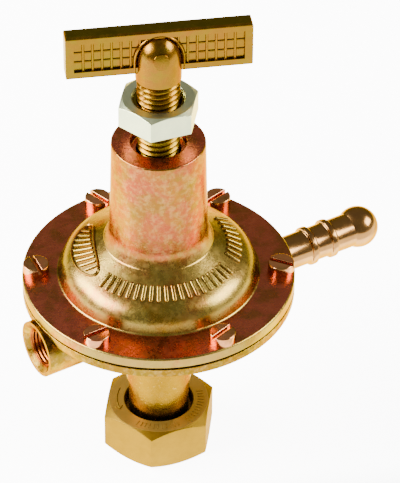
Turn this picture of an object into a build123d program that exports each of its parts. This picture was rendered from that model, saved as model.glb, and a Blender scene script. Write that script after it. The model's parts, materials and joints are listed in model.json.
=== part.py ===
"""Adjustable high-pressure gas regulator, in millimetres.

The origin is on the main axis, in the mouth of the coupling nut that the regulator stands on.
+Z is up, towards the T-handle. +X is along the hose nozzle.
"""
import os
from math import cos, radians, sin

from build123d import *

# ---------------------------------------------------------------- driving sizes
# Coupling nut and inlet nipple
nut_af = 25.0
nut_height = 11.3
nut_roof = 2.0                 # thickness of the wall that hangs on the nipple's collar
nut_thread_r = 9.2             # modelled wall of the 20 mm left-hand gas thread
nut_relief_depth = 0.5         # undercut above the thread, round the collar
nut_turn = -7.9                # angle of one corner
nipple_bore_r = 3.2
collar_ledge = 1.45            # how far the collar stands out from the nipple
collar_height = 1.6
gasket_height = 1.5
gasket_bore_r = 4.0
neck_step_z = 19.3             # where the nipple's shoulder meets the neck
spigot_length = 4.7            # threaded end of the nipple inside the neck
filter_length = 8.0

# Body
flange_r = 32.5
body_flange_t = 2.3
diaphragm_t = 0.6
diaphragm_inset = 0.6          # how far its edge lies inside the flanges
body_top_z = 49.1
neck_r = 7.85
neck_bore_r = 6.0
neck_root_z = 25.5
cone_r = 16.0
cone_z = 34.0
bowl_r = 22.0
bowl_z = 38.6
chamber_r = 19.0
chamber_floor_z = 40.0
seat_roof_z = 38.0             # roof of the bore that the valve seat is screwed up to
port_z = 42.1
boss_r = 6.9
boss_reach = 1.0               # how far the bosses stand out beyond the flange
port_thread_r = 4.6            # modelled wall of the G1/8 threads
port_depth = 10.0
port_mouth_r = 6.0             # rim of the lead-in cones
port_lead_in = 1.2
passage_r = 2.2

# Bonnet
bonnet_flange_t = 2.6
dome_foot_r = 23.9
dome_shoulder_r = 22.6
dome_shoulder_z = 57.2
tower_flare_r = 13.0           # where the dome runs into the tower's fillet
tower_flare_z = 62.6
tower_foot_r = 11.7
tower_foot_z = 66.5
tower_top_r = 11.05
bonnet_top_z = 91.2
bonnet_wall = 2.4
spring_bore_r = 8.3
stem_engagement = 11.2         # threaded length of the tower
dimple_r = 6.45                # recess in the tower's top round the stem
dimple_depth = 2.0
vent_r = 0.6
vent_z = 54.2
vent_angle = -30.0

# Cover screws, M3.5 cheese head
screw_count = 6
screw_edge = 3.3               # from the screws' centres to the flange's edge
screw_first_angle = 30.0
screw_head_r = 3.1
screw_head_h = 2.4
screw_r = 1.75
screw_slot_w = 0.9
screw_slot_depth = 1.2
screw_slot_angles = (13.0, 143.0, 102.0, 1.0, 16.0, 127.0)

# T-handle and lock nut, M10
thread_r = 5.0
hub_r = 5.35
hub_gap = 5.9                  # bare thread between the lock nut and the hub
hub_length = 3.7               # from the hub's foot to the centre of its round end
bar_length = 42.9
bar_thick = 4.0
bar_height = 11.7
bar_drop = 1.4                 # how far the bar reaches below the centre of the hub's round end
bar_turn = -22.3
bar_edge_r = 0.8
panel_side_border = 1.9
panel_top_border = 2.0
panel_depth = 0.7
tip_reach = 4.0                # how far the stem reaches below the tower's thread
tip_r = 3.5                    # flat end of the stem's cone, sunk in the button
tip_depth = 1.0
lock_af = 17.0
lock_height = 6.0
lock_gap = 6.7                 # bare thread between the bonnet and the lock nut
lock_turn = -10.5              # angle of one corner

# Diaphragm stack
stud_r = 2.5
stud_head_af = 8.0
stud_head_h = 3.0
stud_end_z = 55.2
washer_r = 14.0
washer_t = 1.2
plate_r = 16.0
plate_t = 1.5
plate_rim_r = 8.8              # ring that centres the main spring
plate_rim_h = 1.0
stud_nut_h = 3.0

# Springs
main_wire_r = 1.15
main_coil_r = 6.45
main_turns = 6.0
button_t = 3.6
button_spigot_r = 4.8
button_spigot_h = 2.4
poppet_wire_r = 0.3
poppet_coil_r = 3.6
poppet_turns = 4.0

# Valve
orifice_r = 1.6
seat_length = 4.2
seat_lip_r = 2.3
seat_lip_h = 0.6
seat_plenum_r = 4.2
seat_plenum_depth = 1.0
ring_wire_r = 0.55             # o-ring of the valve seat
poppet_length = 4.4
poppet_spigot_r = 2.9
poppet_spigot_h = 1.5
poppet_flat_r = 4.9            # distance from the axis to each gas flat
pad_r = 3.4
pad_t = 1.6
pin_r = 1.2
gas_hole_r = 0.8
gas_hole_circle_r = 2.9

# Hose nozzle, for 8 mm hose
barb_r = 4.25
barb_bore_r = 2.4
barb_collar_r = 5.3
barb_collar_t = 1.0
barb_seal_wire_r = 0.38        # o-ring in the lead-in cone, under the collar
barb_ring_r = 4.85
barb_ring_w = 1.3
barb_ring_places = (8.7, 14.4)  # from the boss's face
barb_ball_r = 5.15
barb_ball_place = 23.3

# Clearances
thread_gap = 0.08              # stem in the bonnet and in the lock nut
running_gap = 0.06             # poppet and pin in their bores, button in the tower
screw_gap = 0.05               # fixed threads, modelled as plain shanks
through_gap = 0.2              # cover screws through the bonnet and diaphragm
hang_gap = 0.15                # nut's roof over the nipple's collar
push_gap = 0.1                 # between pieces that push on one another across a joint
nut_gap = 0.9                  # nut's roof round the nipple
collar_gap = 0.45              # nipple's collar inside the nut's thread

# ---------------------------------------------------------------- derived places
collar_r = nut_thread_r - collar_gap
nipple_r = collar_r - collar_ledge
nut_relief_r = nut_thread_r + nut_relief_depth
collar_top_z = nut_height - nut_roof - hang_gap
collar_base_z = collar_top_z - collar_height
gasket_base_z = collar_base_z - gasket_height
nut_thread_length = gasket_base_z - hang_gap
nipple_top_z = neck_step_z + spigot_length
diaphragm_top_z = body_top_z + diaphragm_t
flange_top_z = diaphragm_top_z + bonnet_flange_t
flange_base_z = body_top_z - body_flange_t
washer_base_z = body_top_z - washer_t
plate_top_z = diaphragm_top_z + plate_t
stud_head_z = washer_base_z - stud_head_h
seat_base_z = seat_roof_z - seat_length
pad_top_z = seat_base_z - seat_lip_h - push_gap
poppet_base_z = pad_top_z - poppet_length
screw_circle_r = flange_r - screw_edge
nozzle_face_x = flange_r + boss_reach
gauge_face_x = -nozzle_face_x
spring_bore_top_z = bonnet_top_z - dimple_depth - stem_engagement
stem_tip_z = spring_bore_top_z - tip_reach
lock_base_z = bonnet_top_z + lock_gap
hub_base_z = lock_base_z + lock_height + hub_gap
hub_ball_z = hub_base_z + hub_length
bar_base_z = hub_ball_z - bar_drop
bar_middle_z = bar_base_z + bar_height / 2
button_top_z = stem_tip_z
button_base_z = button_top_z - button_t
nozzle_foot_x = nozzle_face_x - port_depth + 0.5


# ---------------------------------------------------------------- helpers
def turned(outline):
    """A solid of revolution about Z from (radius, height) or (radius, height, corner radius)."""
    points = [(p[0], 0, p[1]) for p in outline]
    corners = [p[2] if len(p) > 2 else 0 for p in outline]
    return revolve(make_face(FilletPolyline(*points, radius=corners, close=True)), Axis.Z)


def disc(radius, low, high):
    """A plain cylinder on the main axis between two heights."""
    return Pos(0, 0, low) * Cylinder(radius, high - low, align=(Align.CENTER, Align.CENTER, Align.MIN))


def ring(outer, inner, low, high):
    return disc(outer, low, high) - disc(inner, low - 1, high + 1)


def hexagon(across_flats, low, high, corner_angle=0.0):
    """A hexagonal prism on the main axis with one corner at the given angle."""
    outline = RegularPolygon(across_flats / 2, 6, major_radius=False, rotation=corner_angle)
    return Pos(0, 0, low) * extrude(outline, high - low)


def chamfered_hexagon(across_flats, low, high, corner_angle, chamfer_low, chamfer_high):
    """A hexagonal prism whose corners are turned down to the flats at 30 degrees."""
    corner_r = across_flats / 2 / cos(radians(30))
    rim_r = across_flats / 2 - 0.25
    drop = (corner_r - rim_r) * 0.577
    blank = [(0, low)]
    blank += [(rim_r, low), (corner_r, low + drop)] if chamfer_low else [(corner_r, low)]
    blank += [(corner_r, high - drop), (rim_r, high)] if chamfer_high else [(corner_r, high)]
    blank += [(0, high)]
    return hexagon(across_flats, low, high, corner_angle) & turned(blank)


def along_x(shape, x, height):
    """Lays a shape that was made up the Z axis along +X, its foot at x."""
    return Pos(x, 0, height) * Rot(0, 90, 0) * shape


def on_circle(radius, count, first_angle):
    """Places at equal angles on a circle about the main axis."""
    angles = [first_angle + 360.0 / count * i for i in range(count)]
    return [Pos(radius * cos(radians(a)), radius * sin(radians(a)), 0) for a in angles]


def coil(coil_r, wire_r, turns, low, high):
    """A round-wire compression spring standing between two heights."""
    height = high - low - 2 * wire_r
    path = Helix(pitch=height / turns, height=height, radius=coil_r)
    section = Plane(origin=path @ 0, z_dir=path % 0) * Circle(wire_r)
    return Pos(0, 0, low + wire_r) * sweep(section, path=path, is_frenet=True)


# ---------------------------------------------------------------- inlet
def inlet_nut():
    blank = chamfered_hexagon(nut_af, 0, nut_height, nut_turn, True, True)
    blank -= disc(nut_thread_r, -1, nut_thread_length)
    blank -= disc(nut_relief_r, nut_thread_length, nut_height - nut_roof)
    return blank - disc(nipple_r + nut_gap, 0, nut_height + 1)


def inlet_nipple():
    outline = [
        (nipple_bore_r, collar_base_z),
        (collar_r, collar_base_z),
        (collar_r, collar_top_z, 0.4),
        (nipple_r, collar_top_z),
        (nipple_r, neck_step_z),
        (neck_bore_r - screw_gap, neck_step_z),
        (neck_bore_r - screw_gap, nipple_top_z, 0.5),
        (nipple_bore_r, nipple_top_z),
    ]
    return turned(outline)


def inlet_gasket():
    return ring(collar_r, gasket_bore_r, gasket_base_z, collar_base_z)


def inlet_filter():
    return ring(nipple_bore_r, nipple_bore_r * 0.45, collar_top_z, collar_top_z + filter_length)


# ---------------------------------------------------------------- body
def screw_holes(radius, low, high):
    hole = disc(radius, low, high)
    return [place * hole for place in on_circle(screw_circle_r, screw_count, screw_first_angle)]


def side_boss(face_x):
    """One threaded side boss, solid, from inside the bowl out to its face."""
    boss = Cylinder(boss_r, abs(face_x), align=(Align.CENTER, Align.CENTER, Align.MIN))
    return Pos(0, 0, port_z) * Rot(0, 90 if face_x > 0 else -90, 0) * boss


def side_bore(face_x):
    """The threaded bore of a boss, its lead-in cone and the passage into the chamber."""
    reach = abs(face_x)
    outline = [
        (0, 0),
        (port_mouth_r, 0),
        (port_thread_r, port_lead_in),
        (port_thread_r, port_depth),
        (passage_r, port_depth),
        (passage_r, reach - chamber_r + 2),
        (0, reach - chamber_r + 2),
    ]
    return Pos(face_x, 0, port_z) * Rot(0, -90 if face_x > 0 else 90, 0) * turned(outline)


def body():
    outline = [
        (0, neck_step_z),
        (neck_r, neck_step_z),
        (neck_r, neck_root_z, 1.5),
        (cone_r, cone_z, 3.0),
        (bowl_r, bowl_z, 2.5),
        (bowl_r, flange_base_z, 1.2),
        (flange_r, flange_base_z, 0.4),
        (flange_r, body_top_z, 0.2),
        (0, body_top_z),
    ]
    shell = turned(outline)
    shell += side_boss(gauge_face_x)
    shell += side_boss(nozzle_face_x)
    shell -= disc(chamber_r, chamber_floor_z, body_top_z + 1)
    shell -= disc(neck_bore_r, neck_step_z - 1, seat_roof_z)
    shell -= disc(pin_r + running_gap, seat_roof_z - 1, chamber_floor_z + 1)
    gas_hole = disc(gas_hole_r, seat_roof_z - 1, chamber_floor_z + 1)
    shell -= [place * gas_hole for place in on_circle(gas_hole_circle_r, 3, 90)]
    shell -= side_bore(gauge_face_x)
    shell -= side_bore(nozzle_face_x)
    shell -= screw_holes(screw_r, flange_base_z - 1, body_top_z + 1)
    return shell


# ---------------------------------------------------------------- valve
def valve_seat():
    outline = [
        (orifice_r, seat_base_z - seat_lip_h),
        (seat_lip_r, seat_base_z - seat_lip_h, 0.2),
        (seat_lip_r + 0.6, seat_base_z),
        (neck_bore_r - screw_gap, seat_base_z),
        (neck_bore_r - screw_gap, seat_roof_z - 2 * ring_wire_r),
        (neck_bore_r - 2 * ring_wire_r, seat_roof_z - 2 * ring_wire_r),
        (neck_bore_r - 2 * ring_wire_r, seat_roof_z),
        (seat_plenum_r, seat_roof_z),
        (seat_plenum_r, seat_roof_z - seat_plenum_depth),
        (orifice_r, seat_roof_z - seat_plenum_depth),
    ]
    return turned(outline)


def seat_o_ring():
    centre_r = neck_bore_r - ring_wire_r
    return Pos(0, 0, seat_roof_z - ring_wire_r) * Torus(centre_r, ring_wire_r)


def poppet():
    solid = disc(neck_bore_r - running_gap, poppet_base_z, pad_top_z)
    for angle in (0, 120, 240):
        solid -= Rot(0, 0, angle) * Pos(poppet_flat_r + 5, 0, poppet_base_z) * Box(10, 20, 40)
    solid -= disc(pad_r, pad_top_z - pad_t, pad_top_z + 1)
    return solid + disc(poppet_spigot_r, poppet_base_z - poppet_spigot_h, poppet_base_z)


def poppet_pad():
    return disc(pad_r, pad_top_z - pad_t, pad_top_z)


def poppet_spring():
    return coil(poppet_coil_r, poppet_wire_r, poppet_turns, nipple_top_z, poppet_base_z)


def push_pin():
    return disc(pin_r, pad_top_z, stud_head_z - push_gap)


# ---------------------------------------------------------------- diaphragm
def diaphragm():
    sheet = ring(flange_r - diaphragm_inset, stud_r, body_top_z, diaphragm_top_z)
    return sheet - screw_holes(screw_r + through_gap, body_top_z - 1, diaphragm_top_z + 1)


def diaphragm_washer():
    return ring(washer_r, stud_r, washer_base_z, body_top_z)


def diaphragm_plate():
    plate = ring(plate_r, stud_r, diaphragm_top_z, plate_top_z)
    return plate + ring(plate_rim_r + 1.0, plate_rim_r, diaphragm_top_z, plate_top_z + plate_rim_h)


def diaphragm_stud():
    return hexagon(stud_head_af, stud_head_z, washer_base_z) + disc(stud_r, washer_base_z, stud_end_z)


def stud_nut():
    return hexagon(stud_head_af, plate_top_z, plate_top_z + stud_nut_h) - disc(stud_r, 0, stud_end_z + 1)


# ---------------------------------------------------------------- bonnet
def bonnet():
    outline = [
        (0, diaphragm_top_z),
        (flange_r, diaphragm_top_z, 0.2),
        (flange_r, flange_top_z, 0.5),
        (dome_foot_r, flange_top_z, 0.6),
        (dome_shoulder_r, dome_shoulder_z, 3.2),
        (tower_flare_r, tower_flare_z, 1.2),
        (tower_foot_r, tower_foot_z, 4.0),
        (tower_top_r, bonnet_top_z, 0.5),
        (0, bonnet_top_z),
    ]
    cavity = [
        (0, diaphragm_top_z - 1),
        (dome_foot_r - bonnet_wall - 0.6, diaphragm_top_z - 1),
        (dome_shoulder_r - bonnet_wall, dome_shoulder_z - bonnet_wall, 2.0),
        (spring_bore_r, tower_flare_z - bonnet_wall, 1.0),
        (spring_bore_r, spring_bore_top_z),
        (0, spring_bore_top_z),
    ]
    shell = turned(outline) - turned(cavity)
    shell -= disc(thread_r + thread_gap, spring_bore_top_z - 1, bonnet_top_z + 1)
    shell -= disc(dimple_r, bonnet_top_z - dimple_depth, bonnet_top_z + 1)
    shell -= screw_holes(screw_r + through_gap, diaphragm_top_z - 1, flange_top_z + 1)
    vent = Cylinder(vent_r, flange_r, align=(Align.CENTER, Align.CENTER, Align.MIN))
    return shell - Rot(0, 0, vent_angle) * along_x(vent, spring_bore_r, vent_z)


def cover_screw(slot_angle):
    screw = disc(screw_head_r, flange_top_z, flange_top_z + screw_head_h)
    screw = fillet(screw.edges().group_by(Axis.Z)[-1], 0.35)
    slot = Box(4 * screw_head_r, screw_slot_w, 2 * screw_slot_depth)
    screw -= Pos(0, 0, flange_top_z + screw_head_h) * Rot(0, 0, slot_angle) * slot
    return screw + disc(screw_r - screw_gap, flange_base_z, flange_top_z)


def cover_screws():
    places = on_circle(screw_circle_r, screw_count, screw_first_angle)
    return Compound([place * cover_screw(a) for place, a in zip(places, screw_slot_angles)])


# ---------------------------------------------------------------- adjustment
def main_spring():
    return coil(main_coil_r, main_wire_r, main_turns, plate_top_z, button_base_z)


def spring_button():
    button = disc(spring_bore_r - running_gap, button_base_z, button_top_z)
    button = chamfer(button.edges().group_by(Axis.Z)[-1], 0.4)
    button += disc(button_spigot_r, button_base_z - button_spigot_h, button_base_z)
    dimple = [
        (0, button_top_z - tip_depth),
        (tip_r, button_top_z - tip_depth),
        (thread_r, button_top_z + tip_depth),
        (0, button_top_z + tip_depth),
    ]
    return button - turned(dimple)


def t_bar():
    """The flat T-bar with a shallow recessed panel on each side."""
    bar = Pos(0, 0, bar_middle_z) * Box(bar_length, bar_thick, bar_height)
    bar = fillet(bar.edges().filter_by(Axis.Y) + bar.edges().filter_by(Axis.X), bar_edge_r)
    panel = Box(
        bar_length - 2 * panel_side_border,
        panel_depth * 2,
        bar_height - 2 * panel_top_border,
    )
    for side in (-1, 1):
        bar -= Pos(0, side * bar_thick / 2, bar_middle_z) * panel
    return Rot(0, 0, bar_turn) * bar


def t_handle():
    hub = disc(hub_r, hub_base_z, hub_ball_z) + Pos(0, 0, hub_ball_z) * Sphere(hub_r)
    tip = [
        (0, stem_tip_z - tip_depth + push_gap),
        (tip_r - push_gap, stem_tip_z - tip_depth + push_gap),
        (thread_r, stem_tip_z + tip_depth),
        (thread_r, hub_base_z),
        (0, hub_base_z),
    ]
    return t_bar() + hub + turned(tip)


def lock_nut():
    blank = chamfered_hexagon(lock_af, lock_base_z, lock_base_z + lock_height, lock_turn, False, True)
    return blank - disc(thread_r + thread_gap, lock_base_z - 1, lock_base_z + lock_height + 1)


# ---------------------------------------------------------------- hose nozzle
def hose_barb():
    """Nozzle turned along its own axis, which starts at the port's inner end."""
    face = nozzle_face_x - nozzle_foot_x
    ball = face + barb_ball_place
    nozzle = disc(port_thread_r - screw_gap, 0, face)
    nozzle += disc(barb_collar_r, face, face + barb_collar_t)
    nozzle += disc(barb_r, face, ball)
    nozzle += Pos(0, 0, ball) * Sphere(barb_ball_r)
    for place in barb_ring_places:
        middle = face + place
        barb = disc(barb_ring_r, middle - barb_ring_w / 2, middle + barb_ring_w / 2)
        nozzle += fillet(barb.edges().filter_by(GeomType.CIRCLE), 0.5)
    nozzle -= disc(barb_bore_r, -1, ball + barb_ball_r + 1)
    return along_x(nozzle, nozzle_foot_x, port_z)


def barb_seal():
    centre_r = port_thread_r - screw_gap + barb_seal_wire_r
    return along_x(Torus(centre_r, barb_seal_wire_r), nozzle_face_x - barb_seal_wire_r, port_z)


# ---------------------------------------------------------------- files
pieces = {
    "inlet_nut": inlet_nut,
    "inlet_nipple": inlet_nipple,
    "inlet_gasket": inlet_gasket,
    "inlet_filter": inlet_filter,
    "body": body,
    "valve_seat": valve_seat,
    "seat_o_ring": seat_o_ring,
    "poppet": poppet,
    "poppet_pad": poppet_pad,
    "poppet_spring": poppet_spring,
    "push_pin": push_pin,
    "diaphragm": diaphragm,
    "diaphragm_washer": diaphragm_washer,
    "diaphragm_plate": diaphragm_plate,
    "diaphragm_stud": diaphragm_stud,
    "stud_nut": stud_nut,
    "bonnet": bonnet,
    "cover_screws": cover_screws,
    "main_spring": main_spring,
    "spring_button": spring_button,
    "t_handle": t_handle,
    "lock_nut": lock_nut,
    "hose_barb": hose_barb,
    "barb_seal": barb_seal,
}

os.makedirs("parts", exist_ok=True)
for name, make in pieces.items():
    export_step(make(), f"parts/{name}.step")
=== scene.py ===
"""Looks for an adjustable gas pressure regulator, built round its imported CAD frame."""
import json
from math import asin, atan2, ceil, cos, floor, pi, radians, sin, sqrt, tan, tau

import bmesh
import bpy
import numpy as np
from bpy.props import FloatProperty, FloatVectorProperty, IntProperty, PointerProperty
from mathutils import Matrix, Vector


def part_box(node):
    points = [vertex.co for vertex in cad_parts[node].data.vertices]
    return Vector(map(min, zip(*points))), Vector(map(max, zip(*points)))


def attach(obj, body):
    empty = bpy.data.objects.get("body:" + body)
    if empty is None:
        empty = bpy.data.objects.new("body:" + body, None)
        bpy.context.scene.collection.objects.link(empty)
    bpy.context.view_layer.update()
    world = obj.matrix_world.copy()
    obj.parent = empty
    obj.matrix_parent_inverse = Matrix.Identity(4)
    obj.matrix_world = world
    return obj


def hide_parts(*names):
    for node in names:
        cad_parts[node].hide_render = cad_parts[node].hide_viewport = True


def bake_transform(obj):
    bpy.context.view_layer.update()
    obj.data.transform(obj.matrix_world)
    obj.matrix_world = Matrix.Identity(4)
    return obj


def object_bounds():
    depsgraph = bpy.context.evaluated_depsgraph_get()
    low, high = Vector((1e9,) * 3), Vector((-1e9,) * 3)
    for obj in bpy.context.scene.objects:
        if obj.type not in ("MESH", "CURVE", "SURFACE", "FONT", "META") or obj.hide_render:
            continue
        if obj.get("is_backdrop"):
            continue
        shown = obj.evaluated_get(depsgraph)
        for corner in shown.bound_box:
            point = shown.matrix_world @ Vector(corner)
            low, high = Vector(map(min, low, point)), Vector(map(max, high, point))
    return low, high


bl_info = {
    "name": "Gas regulator builder",
    "version": (1, 0, 0),
    "blender": (4, 5, 0),
    "location": "View3D > Sidebar > Regulator",
    "description": "Builds the pieces, finishes and stage of a T-handle gas regulator",
    "category": "Add Mesh",
}

MM = 0.001
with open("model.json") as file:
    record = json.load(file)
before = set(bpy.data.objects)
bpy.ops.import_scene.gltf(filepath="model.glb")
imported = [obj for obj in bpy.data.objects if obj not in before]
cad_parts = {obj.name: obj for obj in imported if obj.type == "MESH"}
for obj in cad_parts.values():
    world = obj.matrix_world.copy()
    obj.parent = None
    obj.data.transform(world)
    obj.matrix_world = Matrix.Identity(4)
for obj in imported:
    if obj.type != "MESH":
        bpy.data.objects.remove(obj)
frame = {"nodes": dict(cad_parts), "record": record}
cad_low, cad_high = (Vector(corner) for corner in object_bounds())

ROOT = "regulator_body"


def low_z(node):
    """The height of a CAD node's lowest point."""
    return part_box(node)[0][2]


def high_z(node):
    """The height of a CAD node's highest point."""
    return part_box(node)[1][2]


def half_width(node):
    """Half the longest level side of a CAD node's box, which is a turned piece's radius."""
    low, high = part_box(node)
    return max(high[0] - low[0], high[1] - low[1]) / 2


def length_setting(name, description, millimetres):
    """A length that a user can change, with its default in millimetres."""
    return FloatProperty(name=name, description=description, default=millimetres * MM, unit="LENGTH")


def angle_setting(name, description, degrees):
    """An angle that a user can change, with its default in degrees."""
    return FloatProperty(name=name, description=description, default=radians(degrees), subtype="ANGLE")


def colour_setting(name, description, tint):
    """A colour that a user can change."""
    return FloatVectorProperty(
        name=name, description=description, default=tint, subtype="COLOR", size=3, min=0, max=1
    )


# ------------------------------------------------------------------ settings
class RegulatorSizes(bpy.types.PropertyGroup):
    """Sizes that the CAD frame's boxes don't give, and those of the details added to it."""

    stem_radius: length_setting("Stem radius", "Crest radius of the stem's thread", 5.0)
    stem_pitch: length_setting("Stem pitch", "Rise of the stem's thread in one turn", 1.5)
    stem_depth: length_setting("Thread depth", "Depth of the stem's thread", 0.8)
    hub_radius: length_setting("Hub radius", "Radius of the T-handle's domed hub", 5.35)
    hub_base: length_setting("Hub base", "Height of the hub's lower end", 109.8)
    hub_centre: length_setting("Hub centre", "Height where the hub's round end starts", 115.3)
    hub_rise: length_setting("Hub rise", "Height of the hub's round end", 6.6)
    bar_turn: angle_setting("Bar angle", "Turn of the T-bar about the stem", -22.3)
    bar_length: length_setting("Bar length", "Length of the T-bar", 42.9)
    bar_thickness: length_setting("Bar thickness", "Thickness of the T-bar", 4.0)
    bar_height: length_setting("Bar height", "Height of the T-bar", 11.7)
    panel_border: length_setting("Panel border", "Plain edge round the T-bar's gripping panel", 2.0)
    panel_depth: length_setting("Panel depth", "Depth of the T-bar's gripping panel", 0.7)
    grid_columns: IntProperty(name="Grid columns", description="Cells along the gripping panel", default=18)
    grid_rows: IntProperty(name="Grid rows", description="Cells up the gripping panel", default=3)
    lock_flats: length_setting("Lock nut flats", "Lock nut across its flats", 17.0)
    lock_turn: angle_setting("Lock nut angle", "Turn of one corner", -10.5)
    coupling_flats: length_setting("Coupling flats", "Coupling nut across its flats", 25.0)
    coupling_turn: angle_setting("Coupling nut angle", "Turn of one corner", -7.9)
    flange_thickness: length_setting("Flange thickness", "Thickness of the bonnet's flange", 2.6)
    dome_foot: length_setting("Dome foot", "Radius where the dome leaves the flange", 23.9)
    dome_shoulder: length_setting("Dome shoulder", "Radius of the dome's shoulder", 22.6)
    shoulder_height: length_setting("Shoulder height", "Height of the dome's shoulder", 57.2)
    tower_flare: length_setting("Tower flare", "Radius where the dome runs into the tower", 13.0)
    flare_height: length_setting("Flare height", "Height where the dome runs into the tower", 62.6)
    tower_radius: length_setting("Tower radius", "Radius of the tower's top", 11.05)
    recess_radius: length_setting("Recess radius", "Recess in the tower's top", 6.45)
    recess_depth: length_setting("Recess depth", "Depth of that recess", 2.0)
    mark_height: length_setting("Mark height", "How far the cast marks stand out", 0.5)
    mark_radius: length_setting("Mark radius", "Radius of the circle of cast marks", 17.9)
    port_height: length_setting("Port height", "Height of both side ports", 42.1)


class RegulatorColours(bpy.types.PropertyGroup):
    """Colours of the passivated, brass, zinc and rubber finishes."""

    gold: colour_setting("Gold", "Yellow passivation on the castings", (0.25, 0.118, 0.006))
    pink: colour_setting("Pink", "Rose bloom in the passivation", (0.29, 0.052, 0.022))
    olive: colour_setting("Olive", "Green bloom in the passivation", (0.15, 0.115, 0.006))
    copper: colour_setting("Copper", "Red-brown of the flange and the screws", (0.50, 0.105, 0.062))
    bar: colour_setting("Bar", "Darker yellow of the T-handle", (0.17, 0.088, 0.006))
    lemon: colour_setting("Lemon", "Yellow of the lower casting", (0.17, 0.088, 0.002))
    pale_edge: colour_setting("Pale edge", "Rubbed edges of the castings", (0.55, 0.34, 0.10))
    brass: colour_setting("Brass", "Coupling nut", (0.155, 0.088, 0.006))
    zinc: colour_setting("Zinc", "Lock nut", (0.60, 0.64, 0.36))
    steel: colour_setting("Steel", "Springs and pins", (0.40, 0.40, 0.41))
    yellow: colour_setting("Yellow", "Yellow at the foot of the lower casting", (0.12, 0.063, 0.0006))
    orange: colour_setting("Orange", "Red-orange inside the side port", (0.22, 0.046, 0.008))
    moss: colour_setting("Moss", "Green-gold on the dome's slope", (0.30, 0.225, 0.045))
    russet: colour_setting("Russet", "Screw heads", (0.62, 0.25, 0.10))
    rubber: colour_setting("Rubber", "Seals and the diaphragm", (0.015, 0.015, 0.015))


class StageSettings(bpy.types.PropertyGroup):
    """Camera and light."""

    azimuth: angle_setting("Azimuth", "Turn of the camera about the object", -30.5)
    elevation: angle_setting("Elevation", "Height of the camera above level", 39.74)
    roll: angle_setting("Roll", "Lean of the camera about its own line of sight", 0.5)
    distance: length_setting("Distance", "Camera to the target on the main axis", 831.0)
    lens: FloatProperty(name="Lens", description="Focal length in millimetres", default=260.5)
    target_height: length_setting(
        "Target height", "Height on the main axis that the camera is set out from", 54.7
    )
    aim_right: length_setting("Aim right", "How far right of the main axis the camera looks", 9.84)
    aim_up: length_setting("Aim up", "How far above the target the camera looks", 4.87)
    floor_tone: FloatProperty(
        name="Floor tone", description="Paleness of the floor", default=0.92, min=0, max=1
    )
    sky_tone: FloatProperty(name="Sky tone", description="Brightness of the room above", default=0.33, min=0)
    left_power: FloatProperty(name="Left power", description="Left soft box in watts", default=66, min=0)
    right_power: FloatProperty(name="Right power", description="Right soft box in watts", default=24, min=0)
    floor_glow: FloatProperty(
        name="Floor glow", description="Light of the lit table under the object", default=9, min=0
    )
    near_glow: FloatProperty(
        name="Near glow", description="Share of that light on the table's near part", default=0.14
    )


# ------------------------------------------------------------------ mesh tools
def placed_object(name, data):
    """A new object in the scene for a mesh, a light or a camera."""
    made = bpy.data.objects.new(name, data)
    bpy.context.scene.collection.objects.link(made)
    return made


def link_mesh(name, verts, faces, smooth_angle=radians(32)):
    """A new object at the origin whose creases sharper than smooth_angle stay sharp."""
    mesh = bpy.data.meshes.new(name)
    mesh.from_pydata([tuple(v) for v in verts], [], faces)
    mesh.validate()
    finish_mesh(mesh, smooth_angle)
    return placed_object(name, mesh)


def finish_mesh(mesh, smooth_angle, recalculate=True):
    """Merges doubles, points the faces outwards and shades the mesh smooth between creases."""
    work = bmesh.new()
    work.from_mesh(mesh)
    bmesh.ops.remove_doubles(work, verts=work.verts, dist=1e-7)
    bmesh.ops.dissolve_degenerate(work, edges=work.edges, dist=1e-8)
    if recalculate:
        bmesh.ops.recalc_face_normals(work, faces=work.faces)
    work.to_mesh(mesh)
    work.free()
    mesh.polygons.foreach_set("use_smooth", [True] * len(mesh.polygons))
    mesh.set_sharp_from_angle(angle=smooth_angle)
    mesh.update()


def smooth_copy(node, name, smooth_angle=radians(30)):
    """A merged, smoothly shaded copy of a CAD node's mesh, at the origin."""
    source = frame["nodes"][node]
    mesh = source.data.copy()
    mesh.materials.clear()
    mesh.transform(source.matrix_world)
    if mesh.has_custom_normals:
        mesh.attributes.remove(mesh.attributes["custom_normal"])
    finish_mesh(mesh, smooth_angle, recalculate=False)
    return placed_object(name, mesh)


def circle(radius, count):
    """Points round the origin, as (x, y)."""
    return [(radius * cos(tau * k / count), radius * sin(tau * k / count)) for k in range(count)]


def lathe(name, outline, sides=128, smooth_angle=radians(32)):
    """A closed solid of revolution about Z from (radius, height) points, first and last joined."""
    verts = [(x, y, z) for r, z in outline for x, y in circle(r, sides)]
    faces = []
    count = len(outline)
    for k in range(count):
        for i in range(sides):
            a, b = k * sides + i, k * sides + (i + 1) % sides
            c, d = ((k + 1) % count) * sides + (i + 1) % sides, ((k + 1) % count) * sides + i
            faces.append((a, b, c, d))
    return link_mesh(name, verts, faces, smooth_angle)


def rounded(points, steps=5):
    """An open outline of (radius, height[, corner radius]) with its corners as arcs."""
    outline = []
    for i, point in enumerate(points):
        corner = Vector(point[:2])
        radius = point[2] if len(point) > 2 else 0
        if radius == 0 or i in (0, len(points) - 1):
            outline.append(tuple(corner))
            continue
        before = (Vector(points[i - 1][:2]) - corner).normalized()
        after = (Vector(points[i + 1][:2]) - corner).normalized()
        half = before.angle(after) / 2
        reach = radius / np.tan(half)
        centre = corner + (before + after).normalized() * radius / sin(half)
        start = corner + before * reach - centre
        end = corner + after * reach - centre
        sweep = start.angle_signed(end)
        for s in range(steps + 1):
            turn = Matrix.Rotation(-sweep * s / steps, 2)
            outline.append(tuple(centre + turn @ start))
    return outline


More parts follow.
